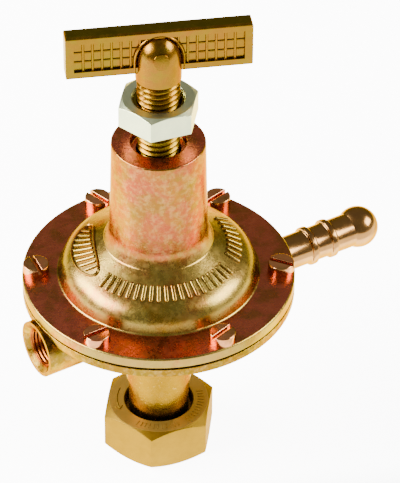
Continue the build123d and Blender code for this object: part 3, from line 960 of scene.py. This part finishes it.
class REGULATOR_OT_handle(bpy.types.Operator):
    """Builds the T-handle: bar, gripping grid, domed hub and threaded stem"""

    bl_idname = "regulator.handle"
    bl_label = "T-handle"

    def execute(self, context):
        sizes = context.scene.regulator_sizes
        gold = finish("handle_gold")
        ride_as(self.casting(sizes), "t_handle", "handle_gold", gold, "t_handle")
        ride_as(self.dome(sizes), "t_handle", "handle_gold", gold)
        ride_as(self.stem(sizes), "t_handle", "handle_gold", gold)
        ride_as(self.grid(sizes, gold), "t_handle", "handle_gold", gold)
        ride_as(self.rims(sizes), "t_handle", "handle_gold", gold)
        ride_as(self.spot(sizes), "t_handle", "handle_gold", gold)
        return {"FINISHED"}

    def casting(self, sizes):
        """The bar and hub, without the plain stem below them."""
        piece = smooth_copy("t_handle", "handle_casting")
        work = bmesh.new()
        work.from_mesh(piece.data)
        below = [vert for vert in work.verts if vert.co.z < sizes.hub_base - 0.02 * MM]
        bmesh.ops.delete(work, geom=below, context="VERTS")
        bmesh.ops.contextual_create(work, geom=[edge for edge in work.edges if edge.is_boundary])
        work.to_mesh(piece.data)
        work.free()
        finish_mesh(piece.data, radians(30), recalculate=False)
        return piece

    def stem(self, sizes):
        tip = low_z("t_handle")
        crest, root = sizes.stem_radius, sizes.stem_radius - sizes.stem_depth
        rod = threaded("rod", tip + 1.2 * MM, sizes.hub_base + 0.4 * MM, crest, root, sizes.stem_pitch)
        tip_r, lead_in = 3.5 * MM, tip + 1.3 * MM
        cone = lathe("cone", [(0.0, tip), (tip_r, tip), (root - 0.1 * MM, lead_in), (0.0, lead_in)], 72)
        return merged("handle_stem", rod, cone)

    def grid(self, sizes, material):
        """Thin ribs up and along both gripping panels, by Geometry Nodes."""
        tree = Tree("grip_grid")
        long = tree.given("Panel length", sizes.bar_length - 2 * sizes.panel_border + 0.2 * MM)
        high = tree.given("Panel height", sizes.bar_height - 2 * sizes.panel_border)
        columns = tree.given("Columns", sizes.grid_columns, "NodeSocketInt")
        rows = tree.given("Rows", sizes.grid_rows, "NodeSocketInt")
        upright = tree.given("Upright rib radius", 0.32 * MM)
        level = tree.given("Level rib radius", 0.25 * MM)
        floor_y = tree.given("Panel floor", sizes.bar_thickness / 2 - sizes.panel_depth)
        bar_middle = tree.given("Bar middle", high_z("t_handle") - sizes.bar_height / 2)
        turn = tree.given("Bar turn", sizes.bar_turn)
        across = self.rib_row(tree, long, columns, upright, high, True)
        up = self.rib_row(tree, high, rows, level, long, False)
        face = tree.joined(across, up)
        shift = tree.sum("MULTIPLY", floor_y, -1.0)
        front = tree.node("GeometryNodeTransform", Geometry=face, Translation=tree.vector(0.0, shift, 0.0))
        back = tree.node("GeometryNodeTransform", Geometry=front.outputs[0], Rotation=(0, 0, pi))
        both = tree.joined(front.outputs[0], back.outputs[0])
        whole = tree.node(
            "GeometryNodeTransform", Geometry=both, Translation=tree.vector(0.0, 0.0, bar_middle),
            Rotation=tree.vector(0.0, 0.0, turn),
        )
        return tree.bake("grip_grid", whole.outputs[0], material)

    def rib_row(self, tree, span, cells, rib_radius, rib_length, upright):
        """Half-sunk round ribs between the cells of a row, along X or up Z."""
        inner = tree.sum("SUBTRACT", cells, 1.0)
        step = tree.sum("DIVIDE", span, cells)
        index = tree.node("GeometryNodeInputIndex").outputs[0]
        from_middle = tree.sum("SUBTRACT", tree.sum("ADD", index, 1.0), tree.sum("DIVIDE", cells, 2.0))
        offset = tree.sum("MULTIPLY", from_middle, step)
        place = tree.vector(x=offset) if upright else tree.vector(z=offset)
        points = tree.node("GeometryNodePoints", Count=inner, Position=place)
        rib = tree.node("GeometryNodeMeshCylinder", Vertices=12, Radius=rib_radius, Depth=rib_length)
        copies = tree.node(
            "GeometryNodeInstanceOnPoints", Points=points.outputs[0], Instance=rib.outputs[0],
            Rotation=(0, 0 if upright else pi / 2, 0),
        )
        return copies.outputs[0]

    def arch(self, sizes, out=0.0, steps=32):
        """The hub's outline over its top, as (x, z), standing off its surface."""
        wide, tall = sizes.hub_radius + out, sizes.hub_rise + out
        turns = [pi * k / steps for k in range(steps + 1)]
        return [(-wide * cos(turn), sizes.hub_centre + tall * sin(turn)) for turn in turns]

    def dome(self, sizes):
        """The hub's bullet-shaped outside."""
        half = [(x, z) for x, z in self.arch(sizes, 0.03 * MM, 64) if x > 0.05 * MM]
        peak = sizes.hub_centre + sizes.hub_rise + 0.03 * MM
        foot = [(sizes.hub_radius + 0.03 * MM, sizes.hub_base + MM), (0.0, sizes.hub_base + MM)]
        return lathe("hub_dome", [(0.0, peak)] + half + foot, 96)

    def rims(self, sizes):
        """A bead round the hub where it stands out of each panel."""
        path = self.arch(sizes, 0.3 * MM, 48)
        foot = high_z("t_handle") - sizes.bar_height + 0.6 * MM
        legs = [foot + (sizes.hub_centre - foot) * k / 4 for k in range(4)]
        path = [(path[0][0], z) for z in legs] + path + [(path[-1][0], z) for z in reversed(legs)]
        turn = Matrix.Rotation(sizes.bar_turn, 3, "Z")
        floor_y = sizes.bar_thickness / 2 - sizes.panel_depth

        def place(side):
            return lambda x, z, lift: tuple(turn @ Vector((side * x, -side * (floor_y + lift), z)))

        beads = [ridge(path, 0.9 * MM, sizes.panel_depth + 0.1 * MM, place(side)) for side in (1, -1)]
        return link_mesh("hub_rims", *together(beads), smooth_angle=radians(60))

    def spot(self, sizes):
        """The flat round spot that the mould's ejector leaves on the hub."""
        radius, out, rise = 1.95 * MM, sizes.hub_radius, radians(14)
        outline = rounded([(0.0, out - MM), (radius, out - MM), (radius, out, 0.15 * MM), (0.0, out)], 4)
        spot = lathe("hub_spot", outline, 48)
        turn = Matrix.Rotation(sizes.bar_turn, 4, "Z") @ Matrix.Rotation(radians(90) - rise, 4, "X")
        spot.data.transform(Matrix.Translation((0, 0, sizes.hub_centre + 0.7 * MM)) @ turn)
        return spot


class REGULATOR_OT_nuts(bpy.types.Operator):
    """Builds the lock nut and the coupling nut, with their threads and stamped marks"""

    bl_idname = "regulator.nuts"
    bl_label = "Nuts"

    def execute(self, context):
        sizes = context.scene.regulator_sizes
        self.lock_nut(sizes, finish("white_zinc"))
        self.coupling_nut(sizes, finish("satin_brass"))
        return {"FINISHED"}

    def lock_nut(self, sizes, material):
        low, high = low_z("lock_nut"), high_z("lock_nut")
        bore, mouth = sizes.stem_radius + 0.55 * MM, 6.3 * MM
        inner = [(mouth - 0.3 * MM, low), (bore, low + 0.6 * MM), (bore, high - 1.0 * MM), (mouth, high)]
        nut = hexagon_nut(
            "lock_nut_hexagon", sizes.lock_flats, low, high, sizes.lock_turn, inner, False, True
        )
        ride_as(soften(nut, 0.16 * MM), "lock_nut", "white_zinc", material, "lock_nut")
        crest = sizes.stem_radius + 0.1 * MM
        thread = threaded(
            "lock_nut_thread", low + 0.5 * MM, high - 0.6 * MM, crest, bore + 0.02 * MM, sizes.stem_pitch,
            bore + 0.3 * MM,
        )
        ride_as(thread, "lock_nut", "white_zinc", finish("handle_gold"))

    def coupling_nut(self, sizes, material):
        low, high = low_z("inlet_nut"), high_z("inlet_nut")
        wall, relief, hole = 9.2 * MM, 9.7 * MM, 8.2 * MM
        inner = [
            (wall + 0.7 * MM, low),
            (wall + 0.1 * MM, low + 0.7 * MM),
            (wall + 0.1 * MM, low + 5.9 * MM),
            (relief, low + 6.2 * MM),
            (relief, high - 2.0 * MM),
            (hole, high - 2.0 * MM),
            (hole, high - 0.3 * MM),
            (hole + 0.3 * MM, high),
        ]
        nut = hexagon_nut(
            "coupling_nut_hexagon", sizes.coupling_flats, low, high, sizes.coupling_turn, inner, True, True
        )
        ride_as(soften(nut, 0.25 * MM), "inlet_nut", "satin_brass", material, "inlet_nut")
        crest, root, backing, pitch = 8.95 * MM, wall + 0.12 * MM, 9.5 * MM, 1.814 * MM
        thread = threaded(
            "coupling_nut_thread", low + 0.6 * MM, low + 5.8 * MM, crest, root, pitch, backing, hand=-1
        )
        ride_as(thread, "inlet_nut", "satin_brass", material)
        self.stamping(high, material)

    def stamping(self, top, material):
        """Plain strokes stamped on the coupling nut's top, and a curved arrow for its left-hand thread."""
        long, wide = 0.75 * MM, 0.14 * MM
        stroke_outline = [(-long, -wide), (long, -wide), (long, wide), (-long, wide)]
        strokes_r, radius = 10.35 * MM, 10.3 * MM
        for name, first, sweep, count in (("front_strokes", -150, 56, 11), ("side_strokes", -78, 62, 12)):
            stroke = link_mesh(name + "_stroke", *prism(stroke_outline, -0.1 * MM, 0.14 * MM, 0.08 * MM, 2))
            row = round_the_axis(
                name, stroke, material, strokes_r, top, radians(first), radians(sweep), count
            )
            ride_as(row, "inlet_nut", "satin_brass", material)

        def place(along, across, lift):
            angle = radians(150) + along / radius
            return ((radius + across) * cos(angle), (radius + across) * sin(angle), top + lift)

        shaft = [(t * MM, 0.0) for t in np.linspace(-4.0, 4.0, 17)]
        head = [(2.9 * MM, 0.95 * MM), (4.0 * MM, 0.0), (2.9 * MM, -0.95 * MM)]
        beads = [ridge(shaft, 0.36 * MM, 0.16 * MM, place), ridge(head, 0.36 * MM, 0.16 * MM, place)]
        arrow = link_mesh("turning_arrow", *together(beads), smooth_angle=radians(60))
        ride_as(arrow, "inlet_nut", "satin_brass", material)


class REGULATOR_OT_nozzle(bpy.types.Operator):
    """Builds the turned hose nozzle"""

    bl_idname = "regulator.nozzle"
    bl_label = "Hose nozzle"

    def execute(self, context):
        sizes = context.scene.regulator_sizes
        low, high = (Vector(corner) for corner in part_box("hose_barb"))
        face = -Vector(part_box("body")[0]).x
        shank, ring_r, ball, bore, spigot = 4.25 * MM, 4.85 * MM, 5.15 * MM, 2.4 * MM, 4.5 * MM
        collar, collar_end = 5.3 * MM, face + 1.0 * MM
        outline = [(bore, low.x), (spigot, low.x, 0.3 * MM), (spigot, face), (collar, face, 0.2 * MM)]
        outline += [(collar, collar_end, 0.3 * MM), (shank, collar_end, 0.3 * MM)]
        for middle_x in (face + 8.7 * MM, face + 14.4 * MM):
            outline += [
                (shank, middle_x - 1.0 * MM, 0.35 * MM),
                (ring_r, middle_x - 0.75 * MM, 0.4 * MM),
                (ring_r, middle_x + 0.6 * MM, 0.45 * MM),
                (shank, middle_x + 0.9 * MM, 0.3 * MM),
            ]
        centre = high.x - sqrt(ball**2 - bore**2)
        start = asin(shank / ball)
        outline = rounded(outline + [(shank, centre - ball * cos(start))], 5)
        end = pi - asin((bore + 0.25 * MM) / ball)
        outline += [
            (ball * sin(angle), centre - ball * cos(angle)) for angle in np.linspace(start + 0.05, end, 26)
        ]
        outline += [(bore, high.x - 0.35 * MM)]
        nozzle = lathe("nozzle_turned", outline, 112)
        turn = Matrix.Rotation(radians(90), 4, "Y")
        nozzle.data.transform(Matrix.Translation((0, 0, sizes.port_height)) @ turn)
        ride_as(nozzle, ROOT, "nozzle_gold", finish("nozzle_gold"), "hose_barb")
        return {"FINISHED"}


class REGULATOR_OT_springs(bpy.types.Operator):
    """Winds both springs, which stretch with what they push on"""
    # Winds both springs

    bl_idname = "regulator.springs"
    bl_label = "Springs"

    def execute(self, context):
        self.wind("main_spring", "main_spring_wire", "spring_button", 6.45 * MM, 1.15 * MM, 6.0)
        self.wind("poppet_spring", "poppet_spring_wire", "poppet", 3.6 * MM, 0.3 * MM, 4.0)
        return {"FINISHED"}

    def wind(self, node, name, far_body, coil_radius, wire_radius, turns):
        low, high = low_z(node), high_z(node)
        tree = Tree(name + "_tree")
        coil = tree.given("Coil radius", coil_radius)
        wire = tree.given("Wire radius", wire_radius)
        rise = tree.given("Height", high - low - 2 * wire_radius)
        many = tree.given("Turns", turns)
        base = tree.given("Base", low + wire_radius)
        helix = tree.node(
            "GeometryNodeCurveSpiral", Resolution=48, Rotations=many, Start_Radius=coil, End_Radius=coil,
            Height=rise,
        )
        section = tree.node("GeometryNodeCurvePrimitiveCircle", Resolution=14, Radius=wire)
        tube = tree.node(
            "GeometryNodeCurveToMesh", Curve=helix.outputs[0], Profile_Curve=section.outputs[0],
            Fill_Caps=True,
        )
        raised = tree.node("GeometryNodeTransform", Geometry=tube.outputs[0], Translation=tree.vector(z=base))
        piece = tree.bake(name, raised.outputs[0], finish("steel"), radians(60))
        piece.data.materials.clear()
        piece.data.materials.append(finish("steel"))
        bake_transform(piece)
        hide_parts(node)


class REGULATOR_OT_diaphragm(bpy.types.Operator):
    """Builds the diaphragm in sectors"""

    bl_idname = "regulator.diaphragm"
    bl_label = "Diaphragm"

    # radii in millimetres: the sheet is held outside the first and rides with the plate inside the second
    held_mm, plate_mm = 18.6, 16.1
    sectors = 24

    def execute(self, context):
        for k in range(self.sectors):
            angle = tau * k / self.sectors
            piece = self.sector("diaphragm_sector_%02d" % (k + 1), angle, pi / self.sectors)
            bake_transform(piece)
            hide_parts("diaphragm")
        return {"FINISHED"}

    def sector(self, name, centre, half):
        """A closed slice of the sheet, with rings of points where it bends."""
        width = self.held_mm - self.plate_mm
        bend = [(self.plate_mm + width * k / 8) * MM for k in range(9)]
        radii = [2.5 * MM, 9 * MM] + bend + [half_width("diaphragm")]
        angles = [centre + half * t for t in (-1, -0.5, 0, 0.5, 1)]
        rows, wide = len(radii), len(angles)
        heights = (low_z("diaphragm"), high_z("diaphragm"))
        verts = [(r * cos(a), r * sin(a), z) for z in heights for r in radii for a in angles]
        layer = rows * wide
        faces = []
        for i in range(rows - 1):
            for j in range(wide - 1):
                a, b = i * wide + j, i * wide + j + 1
                faces.append((a, b, b + wide, a + wide))
                faces.append((layer + a, layer + a + wide, layer + b + wide, layer + b))
        rim = list(range(wide)) + [i * wide + wide - 1 for i in range(1, rows)]
        rim += [(rows - 1) * wide + j for j in range(wide - 2, -1, -1)]
        rim += [i * wide for i in range(rows - 2, 0, -1)]
        for one, two in zip(rim, rim[1:] + rim[:1]):
            faces.append((two, one, layer + one, layer + two))
        piece = link_mesh(name, verts, faces)
        piece.data.materials.append(finish("black_rubber"))
        return piece


class REGULATOR_OT_inner(bpy.types.Operator):
    """Finishes the pieces inside the castings"""

    bl_idname = "regulator.inner"
    bl_label = "Inner pieces"

    def execute(self, context):
        slots = {entry["node"]: entry["material_slot"] for entry in frame["record"]["subparts"]}
        for node, slot in slots.items():
            refinish(node, finish(slot))
        return {"FINISHED"}


# ------------------------------------------------------------------ operator: stage
def soft_box(name, size, place, aim, power):
    """A rectangular soft light at a place, turned to an aim."""
    light = bpy.data.lights.new(name, "AREA")
    light.shape = "RECTANGLE"
    light.size, light.size_y = size
    light.energy = power
    lamp = placed_object(name, light)
    lamp.location = place
    lamp.rotation_euler = (aim - place).to_track_quat("-Z", "Y").to_euler()


def level_axes(azimuth):
    """Level directions to the camera's right and towards the camera."""
    return Vector((cos(azimuth), sin(azimuth), 0)), Vector((sin(azimuth), -cos(azimuth), 0))


class REGULATOR_OT_stage(bpy.types.Operator):
    """Sets the floor, the camera and the lights"""

    bl_idname = "regulator.stage"
    bl_label = "Stage"

    def execute(self, context):
        settings = context.scene.regulator_stage
        self.place_floor(settings)
        self.place_camera(context, settings)
        self.place_lights(context, settings)
        return {"FINISHED"}

    def place_floor(self, settings):
        reach, gap = 3.0, 0.02 * MM
        corners = [(x * reach, y * reach, cad_low.z - gap) for x, y in ((-1, -1), (1, -1), (1, 1), (-1, 1))]
        floor_piece = link_mesh("floor", corners, [(0, 1, 2, 3)])
        shader = Shader("floor_paper", metallic=0.0, roughness=0.6)
        tone = settings.floor_tone
        shade = shader.noise(40, 2) * 0.01
        shader.feed("Base Color", shader.mix(shade, (tone, tone, tone), (tone * 0.97,) * 3))
        # Painted light: the floor glows at full strength under and behind the object and is dimmed to the
        # near share in front of it and far to its sides, a painted pool of light and shade.
        right, towards = level_axes(settings.azimuth)
        ahead = shader.axis("X") * towards.x + shader.axis("Y") * towards.y
        aside = shader.axis("X") * right.x + shader.axis("Y") * right.y
        near = shader.ramp(ahead + aside * 0.15, 0.018, 0.045)
        beside = shader.ramp(aside ** 2.0, 0.0072, 0.02)
        near = (near + beside * 0.8).clamped()
        glow = shader.mix(near, (1, 1, 1), (settings.near_glow,) * 3)
        shader.feed("Emission Color", glow)
        shader.principled.inputs["Emission Strength"].default_value = settings.floor_glow
        floor_piece.data.materials.append(shader.material)
        floor_piece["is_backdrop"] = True

    def place_camera(self, context, settings):
        right, towards = level_axes(settings.azimuth)
        sight = -towards * cos(settings.elevation) - Vector((0, 0, 1)) * sin(settings.elevation)
        up = right.cross(sight)
        target = Vector((0, 0, settings.target_height))
        place = target - sight * settings.distance
        aim = target + right * settings.aim_right + up * settings.aim_up
        data = bpy.data.cameras.new("camera")
        data.lens = settings.lens
        data.sensor_width = 36
        data.clip_start = 0.01
        data.clip_end = 20
        camera = placed_object("camera", data)
        turn = (aim - place).to_track_quat("-Z", "Y").to_matrix() @ Matrix.Rotation(settings.roll, 3, "Z")
        camera.matrix_world = Matrix.Translation(place) @ turn.to_4x4()
        context.scene.camera = camera

    def place_lights(self, context, settings):
        world = bpy.data.worlds.new("room")
        world.use_nodes = True
        backdrop = world.node_tree.nodes["Background"]
        backdrop.inputs["Color"].default_value = (settings.sky_tone,) * 3 + (1,)
        context.scene.world = world
        right, towards = level_axes(settings.azimuth)
        aim = Vector((0, 0, 60 * MM))
        lift = Vector((0, 0, 0.62))
        for name, size, aside, nearer, power in (
            ("left_box", (1.1, 0.55), -0.95, 0.10, settings.left_power),
            ("right_box", (0.7, 0.5), 0.95, 0.04, settings.right_power),
        ):
            soft_box(name, size, aim + right * aside + towards * nearer + lift, aim, power)


class REGULATOR_PT_panel(bpy.types.Panel):
    """Lists the builders"""

    bl_idname = "REGULATOR_PT_panel"
    bl_label = "Gas regulator"
    bl_space_type = "VIEW_3D"
    bl_region_type = "UI"
    bl_category = "Regulator"

    def draw(self, context):
        for name in STEPS:
            self.layout.operator(f"regulator.{name}")


STEPS = ("inner", "diaphragm", "body", "bonnet", "screws", "handle", "nuts", "nozzle", "springs", "stage")
GROUPS = (
    ("regulator_sizes", RegulatorSizes),
    ("regulator_colours", RegulatorColours),
    ("regulator_stage", StageSettings),
)
OPERATORS = (
    REGULATOR_OT_diaphragm,
    REGULATOR_OT_inner,
    REGULATOR_OT_body,
    REGULATOR_OT_bonnet,
    REGULATOR_OT_screws,
    REGULATOR_OT_handle,
    REGULATOR_OT_nuts,
    REGULATOR_OT_nozzle,
    REGULATOR_OT_springs,
    REGULATOR_OT_stage,
)


def register():
    for name, group in GROUPS:
        bpy.utils.register_class(group)
        setattr(bpy.types.Scene, name, PointerProperty(type=group))
    for operator in OPERATORS:
        bpy.utils.register_class(operator)
    bpy.utils.register_class(REGULATOR_PT_panel)


def unregister():
    bpy.utils.unregister_class(REGULATOR_PT_panel)
    for operator in reversed(OPERATORS):
        bpy.utils.unregister_class(operator)
    for name, group in reversed(GROUPS):
        delattr(bpy.types.Scene, name)
        bpy.utils.unregister_class(group)


def main():
    """Builds everything in order."""
    register()
    for name in STEPS:
        getattr(bpy.ops.regulator, name)()
    boxes = {
        "cad": [list(cad_low), list(cad_high)],
        "visual": [list(corner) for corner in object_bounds()],
    }


if __name__ == "__main__":
    main()
